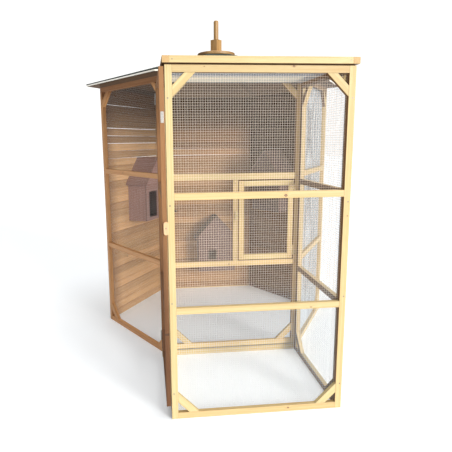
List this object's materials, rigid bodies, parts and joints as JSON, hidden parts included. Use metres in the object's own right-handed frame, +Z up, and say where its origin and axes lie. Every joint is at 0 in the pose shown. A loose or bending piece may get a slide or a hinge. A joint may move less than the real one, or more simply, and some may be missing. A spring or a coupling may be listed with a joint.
{
  "type": "bird aviary",
  "caption": "Walk-in timber and wire mesh bird aviary: a six-sided roofed cage with board walls behind, nest boxes inside and a box-shaped safety porch in front.",
  "frame": {"origin": "centre of the bounding box at ground level", "axes": "+Z up, the porch front faces -Y, the cage stands behind it towards +Y, +X to the right as seen from the front"},
  "size_m": [2.064, 2.5202, 2.4352],
  "materials": {
    "pine": "planed pale softwood with fine grain and small knots",
    "wall_boards": "tan softwood boards with grooved joints",
    "roof_wood": "brown rough softwood boards",
    "nest_wood": "pinkish brown stained softwood",
    "finial_wood": "orange brown varnished hardwood",
    "green_felt": "dark green mineral roofing felt",
    "wire_mesh": "galvanised welded wire mesh",
    "hinge_steel": "zinc plated steel",
    "dark_metal": "dark painted steel"
  },
  "bodies": {
    "aviary": {"sill_rail": "pine", "front_left_frame": "pine", "front_left_net": "wire_mesh", "front_right_frame": "pine", "front_right_net": "wire_mesh", "back_right_battens": "pine", "back_right_boards": "wall_boards", "back_battens": "pine", "back_boards": "wall_boards", "back_left_battens": "pine", "back_left_boards": "wall_boards", "inner_hinge_fixed_1": "hinge_steel", "inner_hinge_fixed_2": "hinge_steel", "porch_front_frame": "pine", "porch_front_net": "wire_mesh", "porch_right_frame": "pine", "porch_right_net": "wire_mesh", "porch_left_frame": "pine", "porch_hinge_fixed_1": "hinge_steel", "porch_hinge_fixed_2": "hinge_steel", "porch_hinge_post": "pine", "corner_batten": "pine", "porch_roof_frame": "pine", "porch_roof_net": "wire_mesh", "eave_plate": "roof_wood", "roof_panel_1": "roof_wood", "roof_panel_2": "roof_wood", "roof_panel_3": "roof_wood", "roof_panel_4": "roof_wood", "roof_panel_5": "roof_wood", "roof_panel_6": "roof_wood", "roof_felt": "green_felt", "cap_disc": "finial_wood", "finial_block": "finial_wood", "finial_dowel": "finial_wood", "nest_back_body": "nest_wood", "nest_back_roof": "nest_wood", "nest_back_left_body": "nest_wood", "nest_back_left_roof": "nest_wood", "nest_back_right_body": "nest_wood", "nest_back_right_roof": "nest_wood"},
    "porch_door": {"porch_door_frame": "pine", "porch_door_net": "wire_mesh", "porch_hinge_leaf_1": "hinge_steel", "porch_hinge_leaf_2": "hinge_steel", "porch_door_plate": "hinge_steel"},
    "porch_button": {"porch_button": "pine"},
    "inner_door": {"inner_door_frame": "pine", "inner_door_net": "wire_mesh", "inner_hinge_leaf_1": "hinge_steel", "inner_hinge_leaf_2": "hinge_steel", "inner_door_bolt": "dark_metal", "service_hinge_fixed_1": "hinge_steel", "service_hinge_fixed_2": "hinge_steel"},
    "service_door": {"service_door_frame": "pine", "service_door_net": "wire_mesh", "service_hinge_leaf_1": "hinge_steel", "service_hinge_leaf_2": "hinge_steel"},
    "service_latch": {"service_latch": "pine"}
  },
  "joints": [
    {"name": "porch_door_hinge", "type": "hinge", "parent": "aviary", "child": "porch_door", "pos_m": [-0.5123, -0.45957, 0.966], "axis": [0, 0, -1], "range_deg": [0, 110]},
    {"name": "porch_button_turn", "type": "hinge", "parent": "porch_door", "child": "porch_button", "pos_m": [-0.49, -1.25237, 1.0665], "axis": [0, -1, 0], "range_deg": [0, 90]},
    {"name": "inner_door_hinge", "type": "hinge", "parent": "aviary", "child": "inner_door", "pos_m": [0.44635, -0.40677, 0.982], "axis": [0, 0, -1], "range_deg": [0, 90]},
    {"name": "service_door_hinge", "type": "hinge", "parent": "inner_door", "child": "service_door", "pos_m": [0.423, -0.44337, 0.958], "axis": [0, 0, 1], "range_deg": [0, 90]},
    {"name": "service_latch_turn", "type": "hinge", "parent": "inner_door", "child": "service_latch", "pos_m": [0.021, -0.44537, 0.9975], "axis": [0, -1, 0], "range_deg": [0, 90]}
  ]
}
